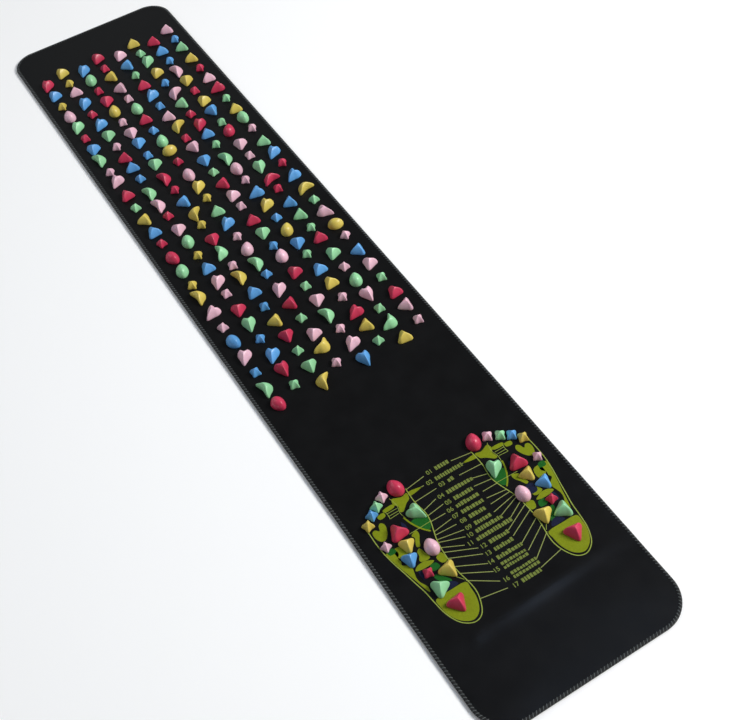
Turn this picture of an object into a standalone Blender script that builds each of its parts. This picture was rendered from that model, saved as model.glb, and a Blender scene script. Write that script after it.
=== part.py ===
"""Acupressure mat: a soft laminated mat with moulded plastic stones bonded to its cover.

Metres, +Z up. The origin is in the middle of the underside. +Y runs along the mat to its far end, where
the stone field lies, and the two printed feet of the reflexology chart lie near the -Y end.
"""

import math
from collections import namedtuple

import bmesh
import bpy
from mathutils import Matrix

# The mat's outline
MAT_WIDTH = 0.350
MAT_LENGTH = 1.750
NEAR_CORNER_RADIUS = 0.057
FAR_CORNER_RADIUS = 0.046
CORNER_STEPS = 8

# The laminate, from the underside up
BASE_THICKNESS = 0.0008
FOAM_THICKNESS = 0.0028
COVER_THICKNESS = 0.0008
GLUE_GAP = 0.0003

# The overlocked edge, a band of thread that wraps the rim
THREAD_THICKNESS = 0.0006
SEAM_BITE = 0.005
MERGE_DISTANCE = 0.00005

# Adhesive tape under the stones, and the printed feet
TAPE_THICKNESS = 0.0003
TAPE_WIDTH = 0.012
TAPE_OVERHANG = 0.009
STONE_SINK = 0.0002
PRINT_THICKNESS = 0.0003

# The stones. A length or width is twice the reach from the stone's middle, where the outline's share is 1
TRIANGLE_LENGTH = 0.0302
TRIANGLE_WIDTH = 0.0320
HEART_LENGTH = 0.0350
HEART_WIDTH = 0.0265
EGG_LENGTH = 0.0292
EGG_WIDTH = 0.0232
MOON_LENGTH = 0.0295
MOON_WIDTH = 0.0315
STAR_SPAN = 0.0208
LARGE_STONE_HEIGHT = 0.0155
STAR_HEIGHT = 0.0128

# Where the stone field lies
STONE_SPACING = 0.0040
FIELD_SIDE_MARGIN = 0.0347
FIELD_FAR_MARGIN = 0.1083
CHART_ZONE_LENGTH = 0.636
STRIPS_PER_COLUMN = ("far", "middle", "near")

# Where the two feet lie. Their print isn't quite in the middle of the cover
FOOT_LENGTH = 0.265
FOOT_SIDE_MARGIN = 0.075
FOOT_END_MARGIN = 0.157
CHART_OFFSET = 0.0030

# The dial that the layouts use has 48 marks: 0 points to the far end, 12 to +X, 24 to the near end
DIAL_MARKS = 48

# A stone's outline, as its reach from the middle at equal turns from its tip round to its back. Each
# number is a share of half the stone's length or width. The shoulder is where its flanks turn in.
StoneKind = namedtuple("StoneKind", "length width height sides outline_shares shoulder_share"
                                    " shoulder_height_share peak_shift_share")
TRIANGLE_OUTLINE_SHARES = (1.00, 0.69, 0.60, 0.70, 0.94, 0.73, 0.63)
HEART_OUTLINE_SHARES = (1.00, 0.72, 0.66, 0.83, 1.02, 0.86, 0.70)
EGG_OUTLINE_SHARES = (1.00, 0.95, 0.93, 0.97, 1.00, 1.00, 1.00)
MOON_OUTLINE_SHARES = (0.61, 0.72, 1.12, 0.92, 0.77, 0.69, 0.66)
STAR_OUTLINE_SHARES = (1.00, 0.66, 1.00, 0.66, 1.00)

KINDS = {
    "t": StoneKind(TRIANGLE_LENGTH, TRIANGLE_WIDTH, LARGE_STONE_HEIGHT, 12,
                   TRIANGLE_OUTLINE_SHARES, 0.66, 0.60, 0.06),
    "h": StoneKind(HEART_LENGTH, HEART_WIDTH, LARGE_STONE_HEIGHT, 12,
                   HEART_OUTLINE_SHARES, 0.72, 0.60, 0.08),
    "e": StoneKind(EGG_LENGTH, EGG_WIDTH, LARGE_STONE_HEIGHT, 12,
                   EGG_OUTLINE_SHARES, 0.75, 0.60, 0.06),
    "m": StoneKind(MOON_LENGTH, MOON_WIDTH, LARGE_STONE_HEIGHT, 12,
                   MOON_OUTLINE_SHARES, 0.72, 0.60, 0.00),
    "s": StoneKind(STAR_SPAN, STAR_SPAN, STAR_HEIGHT, 8,
                   STAR_OUTLINE_SHARES, 0.62, 0.68, 0.00),
}

STONE_COLOURS = {
    "R": ("stone_rose", (0.560, 0.040, 0.095)),
    "P": ("stone_pink", (0.790, 0.490, 0.590)),
    "Y": ("stone_yellow", (0.680, 0.540, 0.120)),
    "G": ("stone_green", (0.320, 0.670, 0.370)),
    "B": ("stone_blue", (0.120, 0.370, 0.720)),
}

# The field's stones, one line for each lengthwise column from -X to +X, each read from the far end:
# colour, kind, and the dial mark that the stone's tip points to (a moon's hollow side)
COLUMN_STONES = (
    "Rh28 Bt29 Ys10 Pe0 Gh28 Rs6 Bt27 Gm35 Ps10 Ph30 Rt15 Gs4 Yt37 Bt31 Rs4 Re22 Ge26 Ys10"
    " Ym35 Ph32 Ps4 Be22 Ph28 Bs6 Gm35 Re22",
    "Yt29 Ys10 Pt1 Bh28 Rs4 Bh30 Gt27 Ps10 Rt3 Bt1 Bs4 Gm35 Pm35 Rs4 Pt27 Ge26 Ys10 Bt31"
    " Ph28 Ps6 Rt27 Gh26 Bs10 Bh28 Rh24 Gs8",
    "Bh28 Ge26 Rs6 Rt27 Ye2 Ps8 Pt25 Bt27 Bs6 Gt27 Rm35 Rs10 Bt37 Ym16 Ys10 Rt25 Gm38 Ps8"
    " Ym35 Bt31 Bs8 Yt37 Rt25 Gs4 Gt25 Ym16",
    "Rt29 Rs6 Yt37 Pt37 Ps6 Ge0 Rt1 Bs4 Ge2 Ye12 Rs4 Pe24 Yh28 Ys10 Gt1 Bh30 Ps10 Pe4"
    " Gm35 Bs4 Ph28 Rt37 Gs4 Pt29 Ym44 Ps10",
    "Pt29 Bt37 Gs10 Rt1 Bh30 Bs6 Pt3 Ym18 Rs6 Pt23 Bt25 Gs4 Rt37 Pt29 Ps6 Rt1 Gt27 Bs10"
    " Pe2 Rt29 Gs6 Pt27 Gm35 Ps10 Ph30 Bh24",
    "Yt1 Gs4 Gh28 Yt29 Bs10 Pm18 Gt37 Rs4 Rh28 Bt1 Gs10 Gm35 Pe24 Ps10 Bh34 Yh30 Bs4 Ye4"
    " Bt27 Gs10 Bt31 Yt31 Ps10 Rh32 Yt35 Gs4",
    "Rt3 Bt1 Bs10 Pm35 Yt27 Rs6 Yt29 Bt23 Gs8 Re4 Pt27 Ps6 Gh26 Rm22 Rs8 Bt35 Gt35 Gs10"
    " Rt1 Gt29 Ps4 Ge2 Ph24 Gs6 Gm42 Yt1",
    "Pt3 Bs10 Gt35 Yt3 Rs10 Pt1 Rh34 Gs10 Yt1 Ge24 Ps10 Gt3 Bh30 Rs10 Bh32 Ym22 Gs4 Ph18"
    " Ye14 Ps0 Bt37 Pt29 Gs8 Rt31 Pt37 Ps8",
)

# Columns that lie off the even spacing, as shares of the column pitch towards +X
COLUMN_NUDGE_SHARES = (-0.035, -0.025, -0.025, -0.030, 0.030, 0.010, -0.020, -0.010)

# Rows that lie off the even spacing, as shares of the row pitch towards the far end. The first set is for
# the column at the -X edge and every second one after it, and the second set for those between them.
ROW_NUDGE_SHARES = (
    {7: 0.10, 9: 0.20, 14: 0.15, 18: 0.20},
    {2: 0.15, 9: 0.15, 10: 0.20, 13: 0.10, 19: 0.15, 23: -0.10},
)

# The stones of the feet: name, stone as the right foot has it, length, and its places on the left and the
# right foot: outwards and along from the middle of the heel's rear end. All are shares of the foot's length.
FOOT_STONE_SHARES = (
    ("big_toe_stone", "Re2", 0.118, ((-0.106, 0.938), (-0.102, 0.947))),
    ("second_toe_stone", "Ps10", 0.078, ((-0.009, 0.934), (-0.009, 0.938))),
    ("third_toe_stone", "Gs10", 0.078, ((0.050, 0.896), (0.058, 0.901))),
    ("fourth_toe_stone", "Bs10", 0.078, ((0.102, 0.861), (0.115, 0.865))),
    ("little_toe_stone", "Ys8", 0.078, ((0.155, 0.813), (0.160, 0.814))),
    ("inner_ball_stone", "Gh28", 0.134, ((-0.119, 0.740), (-0.104, 0.732))),
    ("middle_ball_stone", "Rt1", 0.128, ((0.038, 0.682), (0.029, 0.690))),
    ("outer_ball_stone", "Ps10", 0.070, ((0.142, 0.645), (0.150, 0.659))),
    ("upper_midfoot_stone", "Yt38", 0.108, ((0.037, 0.590), (0.031, 0.595))),
    ("lower_midfoot_stone", "Bt38", 0.108, ((0.073, 0.505), (0.077, 0.499))),
    ("inner_arch_stone", "Pe0", 0.110, ((-0.068, 0.503), (-0.070, 0.500))),
    ("small_arch_stone", "Rs4", 0.072, ((0.035, 0.380), (0.047, 0.384))),
    ("inner_midfoot_stone", "Yt26", 0.123, ((-0.068, 0.337), (-0.052, 0.326))),
    ("outer_midfoot_stone", "Gt36", 0.123, ((0.032, 0.268), (0.055, 0.289))),
    ("heel_stone", "Rt25", 0.128, ((0.003, 0.143), (0.021, 0.142))),
)

# The right foot's printed outline, across and along from the same place, as shares of the foot's length
FOOT_OUTLINE_SHARES = (
    (-0.052, 0.022), (-0.102, 0.090), (-0.108, 0.200), (-0.092, 0.330), (-0.094, 0.470), (-0.132, 0.600),
    (-0.158, 0.720), (-0.150, 0.860), (-0.138, 0.965), (-0.080, 0.998), (0.000, 0.985), (0.080, 0.945),
    (0.150, 0.885), (0.188, 0.805), (0.186, 0.640), (0.160, 0.480), (0.122, 0.290), (0.112, 0.150),
    (0.080, 0.045), (0.012, 0.000),
)

COVER_TOP = BASE_THICKNESS + FOAM_THICKNESS + COVER_THICKNESS + 2 * GLUE_GAP
PRINT_BOTTOM = COVER_TOP + GLUE_GAP
RIM_HEIGHT = COVER_TOP + GLUE_GAP + THREAD_THICKNESS
LONGEST_STONE = max(kind.length for kind in KINDS.values())
ROW_PITCH = LONGEST_STONE + STONE_SPACING
COLUMN_PITCH = (MAT_WIDTH - 2 * FIELD_SIDE_MARGIN) / (len(COLUMN_STONES) - 1)
COLUMN_STAGGER = ROW_PITCH / 2
ROW_COUNT = int((MAT_LENGTH - FIELD_FAR_MARGIN - CHART_ZONE_LENGTH - COLUMN_STAGGER) / ROW_PITCH) + 1


def clear_scene():
    """Empties the file that the script is run in."""
    for old in list(bpy.data.objects):
        bpy.data.objects.remove(old, do_unlink=True)


def new_collection(name):
    """A collection under the scene's own."""
    collection = bpy.data.collections.new(name)
    bpy.context.scene.collection.children.link(collection)
    return collection


def make_material(name, colour, roughness, metallic=0.0):
    """A Principled material of one finish."""
    material = bpy.data.materials.new(name)
    material.use_nodes = True
    shader = material.node_tree.nodes["Principled BSDF"]
    shader.inputs["Base Color"].default_value = (*colour, 1.0)
    shader.inputs["Roughness"].default_value = roughness
    shader.inputs["Metallic"].default_value = metallic
    material.diffuse_color = (*colour, 1.0)
    return material


def add_object(name, data, collection, *materials):
    """Links one named object with its materials."""
    thing = bpy.data.objects.new(name, data)
    for material in materials:
        data.materials.append(material)
    collection.objects.link(thing)
    return thing


def mesh_from(bm, name):
    """Turns a bmesh into a mesh with its faces pointing out."""
    bmesh.ops.recalc_face_normals(bm, faces=bm.faces[:])
    mesh = bpy.data.meshes.new(name)
    bm.to_mesh(mesh)
    bm.free()
    return mesh


def add_round_rectangle(bm, inset, height):
    """The mat's outline, drawn in by an inset, as one face at a height. Returns the face."""
    corners = bmesh.ops.create_grid(bm, x_segments=1, y_segments=1, size=1)["verts"]
    half_size = (MAT_WIDTH / 2 - inset, MAT_LENGTH / 2 - inset, 1)
    bmesh.ops.scale(bm, vec=half_size, verts=corners)
    bmesh.ops.translate(bm, vec=(0, 0, height), verts=corners)
    near = [corner for corner in corners if corner.co.y < 0]
    far = [corner for corner in corners if corner.co.y > 0]
    for pair, radius in ((near, NEAR_CORNER_RADIUS), (far, FAR_CORNER_RADIUS)):
        rounded = bmesh.ops.bevel(bm, geom=pair, offset=radius - inset, offset_type="OFFSET",
                                  segments=CORNER_STEPS, profile=0.5, affect="VERTICES")
    return rounded["verts"][0].link_faces[0]


def make_layer(name, inset, bottom, thickness, collection, material):
    """One sheet of the laminate, lying at its height."""
    bm = bmesh.new()
    sheet = add_round_rectangle(bm, inset, 0)
    raised = bmesh.ops.extrude_face_region(bm, geom=[sheet])["geom"]
    top = [item for item in raised if isinstance(item, bmesh.types.BMVert)]
    bmesh.ops.translate(bm, vec=(0, 0, thickness), verts=top)
    layer = add_object(name, mesh_from(bm, name), collection, material)
    layer.location.z = bottom
    return layer


def make_edge_overlock(collection, material):
    """A band of thread with a C section: half of it is drawn at the rim and mirrored in the mid plane."""
    bm = bmesh.new()
    half_height = RIM_HEIGHT / 2
    loops = []
    for inset, height in ((SEAM_BITE, half_height), (0, half_height), (0, 0)):
        outline = add_round_rectangle(bm, inset, height)
        loops.append(list(outline.edges))
        bmesh.ops.delete(bm, geom=[outline], context="FACES_ONLY")
    for upper, lower in zip(loops, loops[1:]):
        bmesh.ops.bridge_loops(bm, edges=upper + lower)
    band = add_object("edge_overlock", mesh_from(bm, "edge_overlock"), collection, material)
    band.location.z = half_height
    mirror = band.modifiers.new("other half", "MIRROR")
    mirror.use_axis = (False, False, True)
    mirror.merge_threshold = MERGE_DISTANCE
    wall = band.modifiers.new("thread thickness", "SOLIDIFY")
    wall.thickness = THREAD_THICKNESS
    wall.offset = -1
    wall.use_even_offset = True
    return band


def dial_turn(mark):
    """The rotation that points a stone's tip, which is modelled at +Y, to a dial mark."""
    return -math.tau * mark / DIAL_MARKS


def read_stone(token):
    """Splits a layout token into colour, kind and dial mark."""
    return token[0], KINDS[token[1]], int(token[2:])


def outline_reach(kind, step):
    """The reach at one of the equal turns from the tip, the same on both sides."""
    return kind.outline_shares[min(step, kind.sides - step)]


def add_stone(bm, kind, scale, place, slot):
    """One stone: a blunt cone with its top poked up to the peak, pushed out to the kind's outline."""
    height = kind.height * scale
    shoulder_height = height * kind.shoulder_height_share
    cone = bmesh.ops.create_cone(bm, cap_ends=True, cap_tris=False, segments=kind.sides, radius1=1,
                                 radius2=kind.shoulder_share, depth=shoulder_height)["verts"]
    bmesh.ops.translate(bm, vec=(0, 0, shoulder_height / 2), verts=cone)
    for vert in cone:
        turn = math.atan2(vert.co.x, vert.co.y) % math.tau
        reach = outline_reach(kind, round(turn / math.tau * kind.sides) % kind.sides)
        vert.co.x *= reach
        vert.co.y *= reach
    faces = {face for vert in cone for face in vert.link_faces}
    top = max(faces, key=lambda face: face.calc_center_median().z)
    poked = bmesh.ops.poke(bm, faces=[top])
    peak = poked["verts"][0]
    peak.co = (0, -kind.peak_shift_share, height)
    stone = cone + [peak]
    half_size = (kind.width * scale / 2, kind.length * scale / 2, 1)
    bmesh.ops.scale(bm, vec=half_size, verts=stone)
    bmesh.ops.transform(bm, matrix=place, verts=stone)
    for face in {face for vert in stone for face in vert.link_faces}:
        face.material_index = slot
    return stone


def field_place(column, row):
    """Where a field stone's middle lies. Every other column is moved towards the far end by its stagger."""
    first = MAT_LENGTH / 2 - FIELD_FAR_MARGIN
    stagger = 0 if column % 2 else COLUMN_STAGGER
    nudge = ROW_NUDGE_SHARES[column % 2].get(row, 0) * ROW_PITCH
    across = (column + COLUMN_NUDGE_SHARES[column] - (len(COLUMN_STONES) - 1) / 2) * COLUMN_PITCH
    return across, first - stagger - row * ROW_PITCH + nudge


def make_stone_strip(column, block, parts, cutters, materials):
    """A run of field stones joined on their adhesive tape."""
    rows = ROW_COUNT * block // len(STRIPS_PER_COLUMN), ROW_COUNT * (block + 1) // len(STRIPS_PER_COLUMN)
    layout = COLUMN_STONES[column].split()
    name = f"stone_strip_{column + 1}_{STRIPS_PER_COLUMN[block]}"

    stones = bmesh.new()
    colours = list(STONE_COLOURS)
    for row in range(*rows):
        colour, kind, mark = read_stone(layout[row % len(layout)])
        across, along = field_place(column, row)
        foot = PRINT_BOTTOM + TAPE_THICKNESS - STONE_SINK
        place = Matrix.Translation((across, along, foot)) @ Matrix.Rotation(dial_turn(mark), 4, "Z")
        add_stone(stones, kind, 1, place, 1 + colours.index(colour))
    cutter = add_object(f"{name}_stones", mesh_from(stones, name), cutters, *materials)
    cutter.hide_render = True
    cutter.display_type = "WIRE"

    across, far_end = field_place(column, rows[0])
    near_end = field_place(column, rows[1] - 1)[1]
    run = far_end - near_end + 2 * TAPE_OVERHANG
    bm = bmesh.new()
    bmesh.ops.create_cube(bm, size=1)
    bmesh.ops.scale(bm, vec=(TAPE_WIDTH, run, TAPE_THICKNESS), verts=bm.verts[:])
    middle = (across, (far_end + near_end) / 2, PRINT_BOTTOM + TAPE_THICKNESS / 2)
    bmesh.ops.translate(bm, vec=middle, verts=bm.verts[:])
    strip = add_object(name, mesh_from(bm, name), parts, *materials)
    union = strip.modifiers.new("stones", "BOOLEAN")
    union.operation = "UNION"
    union.solver = "EXACT"
    union.object = cutter
    return strip


def foot_origin(side):
    """The middle of the rear end of a heel. The side is -1 for the left foot and 1 for the right."""
    return side * (MAT_WIDTH / 2 - FOOT_SIDE_MARGIN), FOOT_END_MARGIN - MAT_LENGTH / 2


def make_foot_print(name, side, collection, material):
    """The printed foot as a thin flat outline."""
    across, along = foot_origin(side)
    curve = bpy.data.curves.new(name, "CURVE")
    curve.dimensions = "2D"
    curve.fill_mode = "BOTH"
    curve.extrude = PRINT_THICKNESS / 2
    curve.resolution_u = 3
    outline = curve.splines.new("BEZIER")
    outline.bezier_points.add(len(FOOT_OUTLINE_SHARES) - 1)
    for point, (share_across, share_along) in zip(outline.bezier_points, FOOT_OUTLINE_SHARES):
        point.co = (side * share_across * FOOT_LENGTH, share_along * FOOT_LENGTH, 0)
        point.handle_left_type = "AUTO"
        point.handle_right_type = "AUTO"
    outline.use_cyclic_u = True
    print_sheet = add_object(name, curve, collection, material)
    print_sheet.location = (across + CHART_OFFSET, along, PRINT_BOTTOM + PRINT_THICKNESS / 2)
    return print_sheet


def make_foot_stone(name, side, entry, collection, materials):
    """One stone of a foot, bonded on the print. The left foot's stones are mirrored."""
    _, token, length_share, places = entry
    across_share, along_share = places[side > 0]
    colour, kind, mark = read_stone(token)
    origin_across, origin_along = foot_origin(side)
    across = origin_across + side * across_share * FOOT_LENGTH
    along = origin_along + along_share * FOOT_LENGTH
    bm = bmesh.new()
    add_stone(bm, kind, length_share * FOOT_LENGTH / kind.length, Matrix.Identity(4), 0)
    material = materials[1 + list(STONE_COLOURS).index(colour)]
    stone = add_object(name, mesh_from(bm, name), collection, material)
    stone.location = (across, along, PRINT_BOTTOM + PRINT_THICKNESS + GLUE_GAP)
    stone.rotation_euler.z = side * dial_turn(mark)
    return stone


def build_mat():
    """Makes every piece, from the underside up."""
    clear_scene()
    parts = new_collection("acupressure_mat")
    cutters = new_collection("joined_stones")

    base_black = make_material("base_sheet", (0.020, 0.020, 0.022), 0.90)
    foam_grey = make_material("foam", (0.030, 0.030, 0.032), 0.95)
    cover_black = make_material("cover", (0.010, 0.010, 0.012), 0.50)
    thread_black = make_material("thread", (0.035, 0.042, 0.038), 0.85)
    print_green = make_material("chart_print", (0.300, 0.380, 0.020), 0.60)
    tape_clear = make_material("adhesive_tape", (0.050, 0.050, 0.050), 0.40)
    stones = [make_material(name, colour, 0.28) for name, colour in STONE_COLOURS.values()]
    strip_materials = [tape_clear, *stones]

    layer_inset = THREAD_THICKNESS + GLUE_GAP
    foam_bottom = BASE_THICKNESS + GLUE_GAP
    cover_bottom = foam_bottom + FOAM_THICKNESS + GLUE_GAP
    make_layer("anti_slip_base", SEAM_BITE + GLUE_GAP, 0, BASE_THICKNESS, parts, base_black)
    make_layer("foam_core", layer_inset, foam_bottom, FOAM_THICKNESS, parts, foam_grey)
    make_layer("top_cover", layer_inset, cover_bottom, COVER_THICKNESS, parts, cover_black)
    make_edge_overlock(parts, thread_black)

    for foot, side in (("left", -1), ("right", 1)):
        make_foot_print(f"{foot}_foot_print", side, parts, print_green)
        for entry in FOOT_STONE_SHARES:
            make_foot_stone(f"{foot}_{entry[0]}", side, entry, parts, strip_materials)

    for column in range(len(COLUMN_STONES)):
        for block in range(len(STRIPS_PER_COLUMN)):
            make_stone_strip(column, block, parts, cutters, strip_materials)


build_mat()
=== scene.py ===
"""Acupressure mat, dressed for display.

Metres, +Z up, +Y along the mat to its far end, with the origin in the middle of the underside. Every piece
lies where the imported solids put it.
"""

import math
import random
from collections import namedtuple

import bmesh
import bpy
from mathutils import Matrix, Vector


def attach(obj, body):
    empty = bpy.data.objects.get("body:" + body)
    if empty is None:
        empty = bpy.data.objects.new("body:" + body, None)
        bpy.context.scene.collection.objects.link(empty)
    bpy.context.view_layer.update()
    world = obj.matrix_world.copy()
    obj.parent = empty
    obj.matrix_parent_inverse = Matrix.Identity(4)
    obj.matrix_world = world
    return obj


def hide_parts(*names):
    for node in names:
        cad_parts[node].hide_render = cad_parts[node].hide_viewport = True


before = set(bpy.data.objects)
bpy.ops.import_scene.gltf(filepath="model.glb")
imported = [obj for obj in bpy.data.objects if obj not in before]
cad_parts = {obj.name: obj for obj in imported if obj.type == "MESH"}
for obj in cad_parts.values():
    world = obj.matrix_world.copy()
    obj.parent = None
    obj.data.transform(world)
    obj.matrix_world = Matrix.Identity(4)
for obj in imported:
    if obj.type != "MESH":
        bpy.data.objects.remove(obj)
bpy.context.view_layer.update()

# The anti-slip base: a thin calendered sheet of soft rubbery plastic with small raised pips that grip the
# floor. It is cut to the mat's outline, glued under the foam, and its rim is caught in the overlocked edge.
MAT_WIDTH = 0.350
MAT_LENGTH = 1.750
NEAR_CORNER_RADIUS = 0.057
FAR_CORNER_RADIUS = 0.046
SEAM_BITE = 0.005
SEAM_CLEARANCE = 0.0003
BASE_TOP = 0.0010
PIP_SPACING = 0.008
PIP_MARGIN = 0.010
PIP_SIZE = 0.0030
PIP_HEIGHT = 0.0003
PIP_TIP_SHARE = 0.6
PIP_CORNERS = ((-1, 0), (0, 1), (1, 0), (0, -1))
SHEET_COLUMNS = 40
SHEET_ROW_STEP = 0.007
CORNER_ROWS = 10

# The mat lies flat but for low swells left by how it was rolled: middle across, middle along, half spread
# across, half spread along, turn, and height
MAT_SWELLS = (
    (0.010, -0.727, 0.130, 0.0145, 0.03, 0.0023),
    (-0.108, -0.735, 0.011, 0.017, -0.50, 0.0010),
    (0.110, -0.800, 0.070, 0.040, -0.30, 0.0008),
    (-0.120, -0.845, 0.060, 0.030, 0.20, 0.0009),
    (0.020, -0.400, 0.160, 0.030, -0.10, 0.0005),
)


def mat_lift(across, along):
    """How far the mat stands off its flat lie at a place."""
    lift = 0
    for middle_x, middle_y, spread_x, spread_y, turn, height in MAT_SWELLS:
        x, y = across - middle_x, along - middle_y
        u = (x * math.cos(turn) + y * math.sin(turn)) / spread_x
        v = (y * math.cos(turn) - x * math.sin(turn)) / spread_y
        lift += height * math.exp(-u * u - v * v)
    return lift


def half_width_at(along, inset):
    """Half the mat's width at a place along it, inside its round corners."""
    corner = FAR_CORNER_RADIUS if along > 0 else NEAR_CORNER_RADIUS
    into_corner = abs(along) - (MAT_LENGTH / 2 - corner)
    if into_corner <= 0:
        return MAT_WIDTH / 2 - inset
    return MAT_WIDTH / 2 - corner + math.sqrt(max((corner - inset) ** 2 - into_corner ** 2, 0))


def row_places(inset):
    """Places along the mat for the rows of a sheet's mesh, closer together in the round corners."""

    def corner_rows(corner):
        turns = [math.pi / 2 * (i + 1) / CORNER_ROWS for i in range(CORNER_ROWS)]
        return [MAT_LENGTH / 2 - corner + (corner - inset) * math.sin(turn) for turn in turns]

    first, last = NEAR_CORNER_RADIUS - MAT_LENGTH / 2, MAT_LENGTH / 2 - FAR_CORNER_RADIUS
    count = round((last - first) / SHEET_ROW_STEP)
    middle = [first + (last - first) * i / count for i in range(count + 1)]
    near_rows = [-place for place in reversed(corner_rows(NEAR_CORNER_RADIUS))]
    return near_rows + middle + corner_rows(FAR_CORNER_RADIUS)


def add_slab(bm, inset, bottom, top):
    """A closed sheet of the mat's outline between two heights, which follows the mat's lie."""
    layers = []
    rows = row_places(inset)
    for height in (bottom, top):
        layer = []
        for along in rows:
            half = half_width_at(along, inset)
            places = [half * (2 * i / SHEET_COLUMNS - 1) for i in range(SHEET_COLUMNS + 1)]
            layer.append([bm.verts.new((x, along, height + mat_lift(x, along))) for x in places])
        layers.append(layer)
    under, over = layers
    for near, far in zip(over, over[1:]):
        for i in range(SHEET_COLUMNS):
            bm.faces.new((near[i], near[i + 1], far[i + 1], far[i]))
    for near, far in zip(under, under[1:]):
        for i in range(SHEET_COLUMNS):
            bm.faces.new((far[i], far[i + 1], near[i + 1], near[i]))

    def rim(layer):
        return (layer[0] + [row[-1] for row in layer[1:-1]] + layer[-1][::-1]
                + [row[0] for row in reversed(layer[1:-1])])

    low, high = rim(under), rim(over)
    for i in range(len(low)):
        j = (i + 1) % len(low)
        bm.faces.new((low[i], low[j], high[j], high[i]))


def add_piece(name, bm, *finishes, smooth=True):
    """Turns a mesh into a named piece with its finishes, which rides on the mat."""
    mesh = bpy.data.meshes.new(name)
    bm.to_mesh(mesh)
    bm.free()
    for finish in finishes:
        mesh.materials.append(finish)
    if smooth:
        mesh.shade_smooth()
    piece = bpy.data.objects.new(name, mesh)
    bpy.context.scene.collection.objects.link(piece)
    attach(piece, "root")
    return piece


def new_finish(name, colour, roughness, specular=0.5):
    """A Principled material with its base values set. Returns it with its shader."""
    finish = bpy.data.materials.new(name)
    finish.use_nodes = True
    shader = finish.node_tree.nodes["Principled BSDF"]
    shader.inputs["Base Color"].default_value = (*colour, 1)
    shader.inputs["Roughness"].default_value = roughness
    shader.inputs["Specular IOR Level"].default_value = specular
    return finish, shader


def add_texture(shader, kind, output, cells_per_metre, settings):
    """A texture in the piece's own coordinates. Returns its value."""
    tree = shader.id_data
    place = tree.nodes.new("ShaderNodeTexCoord")
    texture = tree.nodes.new(kind)
    texture.inputs["Scale"].default_value = cells_per_metre
    for setting, value in settings.items():
        texture.inputs[setting].default_value = value
    tree.links.new(place.outputs["Object"], texture.inputs["Vector"])
    return texture.outputs[output]


def add_noise(shader, cells_per_metre, **settings):
    """Soft random blotches."""
    return add_texture(shader, "ShaderNodeTexNoise", "Fac", cells_per_metre, settings)


def add_cells(shader, cells_per_metre, **settings):
    """Round cells packed side by side."""
    return add_texture(shader, "ShaderNodeTexVoronoi", "Distance", cells_per_metre, settings)


def vary(shader, socket, value, low, high, start=0.0, end=1.0):
    """Runs a colour or number of the shader from low to high as a texture's value goes from start to end."""
    tree = shader.id_data
    ramp = tree.nodes.new("ShaderNodeMapRange")
    ramp.inputs["From Min"].default_value = start
    ramp.inputs["From Max"].default_value = end
    tree.links.new(value, ramp.inputs["Value"])
    varied = ramp.outputs["Result"]
    if isinstance(low, tuple):
        blend = tree.nodes.new("ShaderNodeMix")
        blend.data_type = "RGBA"
        blend.inputs["A"].default_value = (*low, 1)
        blend.inputs["B"].default_value = (*high, 1)
        tree.links.new(varied, blend.inputs["Factor"])
        varied = next(output for output in blend.outputs if output.type == "RGBA")
    else:
        ramp.inputs["To Min"].default_value = low
        ramp.inputs["To Max"].default_value = high
    tree.links.new(varied, shader.inputs[socket])


def emboss(shader, value, strength, depth):
    """Presses a texture's value into the surface, on top of what is pressed in already."""
    tree = shader.id_data
    bump = tree.nodes.new("ShaderNodeBump")
    bump.inputs["Strength"].default_value = strength
    bump.inputs["Distance"].default_value = depth
    tree.links.new(value, bump.inputs["Height"])
    if shader.inputs["Normal"].is_linked:
        tree.links.new(shader.inputs["Normal"].links[0].from_socket, bump.inputs["Normal"])
    tree.links.new(bump.outputs["Normal"], shader.inputs["Normal"])


grip_rubber, shader = new_finish("grip_rubber", (0.020, 0.020, 0.022), roughness=0.85)
mottle = add_noise(shader, cells_per_metre=140, Detail=4)
vary(shader, "Base Color", mottle, (0.014, 0.014, 0.015), (0.030, 0.030, 0.032))
emboss(shader, mottle, strength=0.3, depth=0.0002)

bm = bmesh.new()
add_slab(bm, SEAM_BITE + SEAM_CLEARANCE, PIP_HEIGHT, BASE_TOP)
pip_rows = int((MAT_LENGTH - 2 * PIP_MARGIN) / PIP_SPACING)
pip_columns = int((MAT_WIDTH - 2 * PIP_MARGIN) / PIP_SPACING)
for row in range(pip_rows):
    for column in range(pip_columns):
        x = (column - (pip_columns - 1) / 2) * PIP_SPACING
        y = (row - (pip_rows - 1) / 2) * PIP_SPACING
        if abs(x) > half_width_at(y, PIP_MARGIN):
            continue
        lift = mat_lift(x, y)
        root, tip = [[bm.verts.new((x + i * reach, y + j * reach, height + lift)) for i, j in PIP_CORNERS]
                     for reach, height in ((PIP_SIZE / 2, PIP_HEIGHT), (PIP_SIZE / 2 * PIP_TIP_SHARE, 0))]
        for i in range(len(PIP_CORNERS)):
            j = (i + 1) % len(PIP_CORNERS)
            bm.faces.new((root[i], root[j], tip[j], tip[i]))
        bm.faces.new(tip)
        bm.faces.new(root[::-1])
base = add_piece("anti_slip_sheet", bm, grip_rubber, smooth=False)
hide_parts("anti_slip_base")

# The foam core: a soft closed-cell sheet, 3 mm thick, that lets the mat give underfoot. It is glued between
# the base and the cover, and nothing of it shows once the edge is sewn.
RIM_INSET = 0.0012
FOAM_TOP = 0.0041
LAYER_GAP = 0.00005

foam_cells, shader = new_finish("foam_cells", (0.030, 0.030, 0.032), roughness=0.95)
cells = add_cells(shader, cells_per_metre=1400)
vary(shader, "Base Color", cells, (0.015, 0.015, 0.016), (0.042, 0.042, 0.045))
emboss(shader, cells, strength=0.5, depth=0.0003)

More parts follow.
